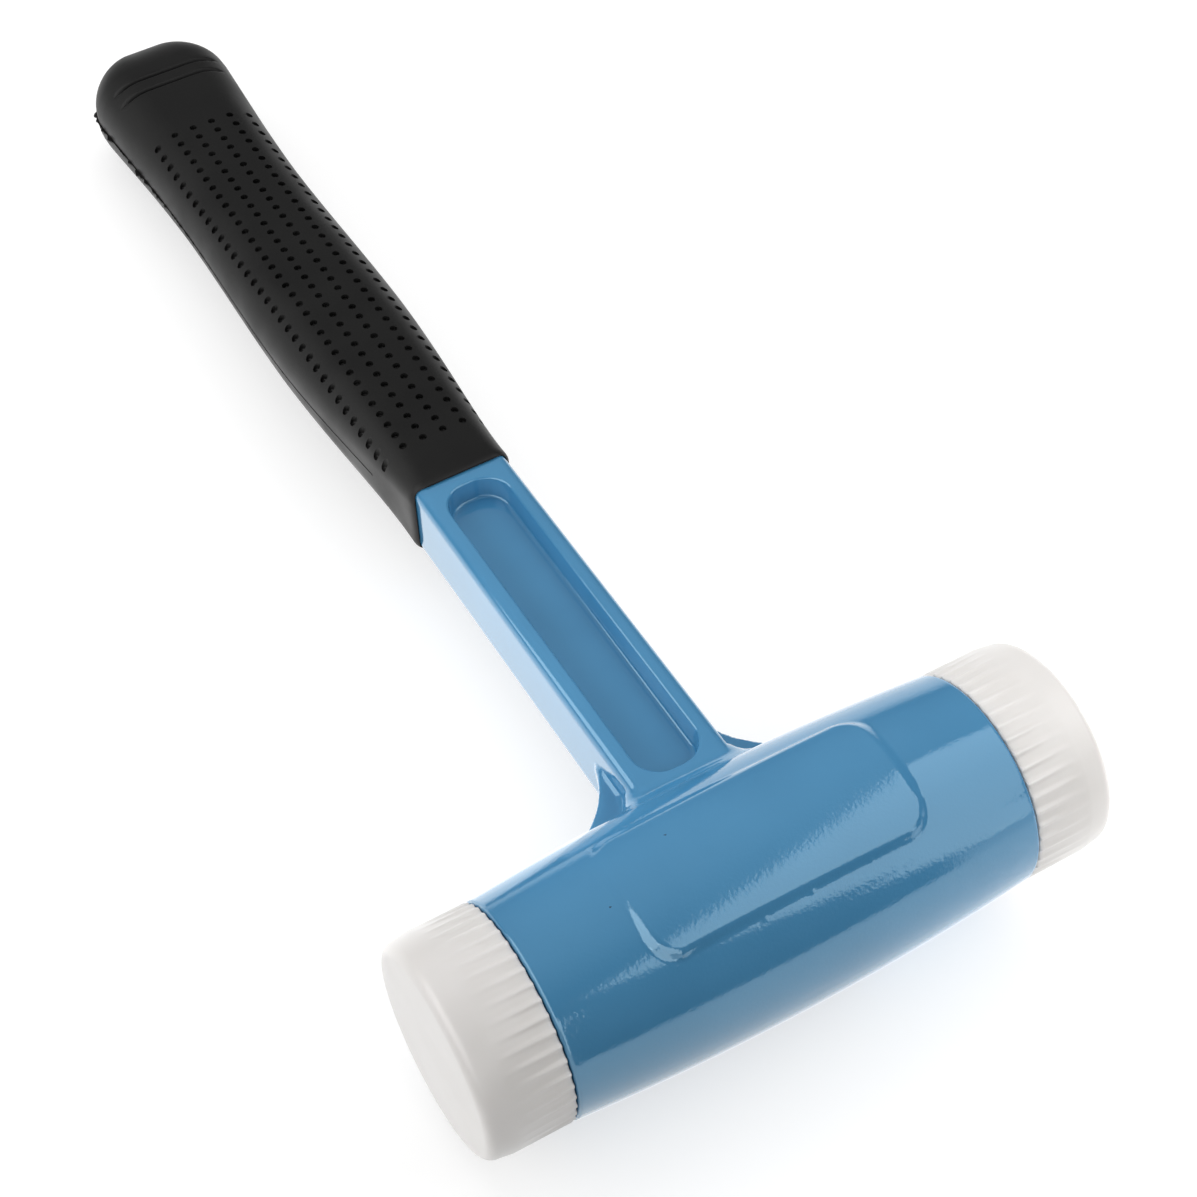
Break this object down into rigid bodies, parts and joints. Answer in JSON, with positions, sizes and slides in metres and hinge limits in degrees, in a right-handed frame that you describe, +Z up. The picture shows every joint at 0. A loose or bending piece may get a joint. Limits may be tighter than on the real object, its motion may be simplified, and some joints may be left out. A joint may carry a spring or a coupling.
{
  "type": "dead blow hammer",
  "caption": "Dead blow hammer with a painted cast barrel and I-section shank, screw-on nylon striking faces, loose shot sealed in the barrel, and a dimpled rubber grip.",
  "frame": {"origin": "on the ground under the middle of the hammer's box, with the hammer lying on its back", "axes": "+X along the head axis towards the right face, +Y along the handle towards the butt, +Z up, out of the raised pad"},
  "size_m": [0.1546, 0.3504, 0.0553],
  "materials": {
    "paint": "gloss paint over a casting",
    "rubber": "matt moulded rubber",
    "nylon": "moulded natural nylon",
    "steel": "turned steel"
  },
  "bodies": {
    "hammer": {"hammer_body": "paint", "grip": "rubber", "left_end_plug": "steel", "right_end_plug": "steel"},
    "left_stud": {"left_stud": "steel"},
    "left_face": {"left_face": "nylon"},
    "right_stud": {"right_stud": "steel"},
    "right_face": {"right_face": "nylon"},
    "shot": {"shot_01": "steel", "shot_02": "steel", "shot_03": "steel", "shot_04": "steel", "shot_05": "steel", "shot_06": "steel", "shot_07": "steel", "shot_08": "steel", "shot_09": "steel", "shot_10": "steel", "shot_11": "steel", "shot_12": "steel", "shot_13": "steel", "shot_14": "steel", "shot_15": "steel", "shot_16": "steel", "shot_17": "steel", "shot_18": "steel", "shot_19": "steel", "shot_20": "steel", "shot_21": "steel", "shot_22": "steel", "shot_23": "steel", "shot_24": "steel", "shot_25": "steel", "shot_26": "steel", "shot_27": "steel", "shot_28": "steel", "shot_29": "steel", "shot_30": "steel"}
  },
  "joints": [
    {"name": "left_face_travel", "type": "slide", "parent": "hammer", "child": "left_stud", "axis": [-1, 0, 0], "range_m": [0, 0.01]},
    {"name": "left_face_turn", "type": "hinge", "parent": "left_stud", "child": "left_face", "pos_m": [-0.0573, -0.14787, 0.0274], "axis": [-1, 0, 0], "range_deg": [0, 1800]},
    {"name": "right_face_travel", "type": "slide", "parent": "hammer", "child": "right_stud", "axis": [1, 0, 0], "range_m": [0, 0.01]},
    {"name": "right_face_turn", "type": "hinge", "parent": "right_stud", "child": "right_face", "pos_m": [0.0573, -0.14787, 0.0274], "axis": [1, 0, 0], "range_deg": [0, 1800]},
    {"name": "shot_run", "type": "slide", "parent": "hammer", "child": "shot", "axis": [1, 0, 0], "range_m": [-0.0088, 0.0088]}
  ],
  "couplings": [
    {"joint": "left_face_travel", "follows": "left_face_turn", "m_per_rad": 0.0003183},
    {"joint": "right_face_travel", "follows": "right_face_turn", "m_per_rad": 0.0003183}
  ]
}
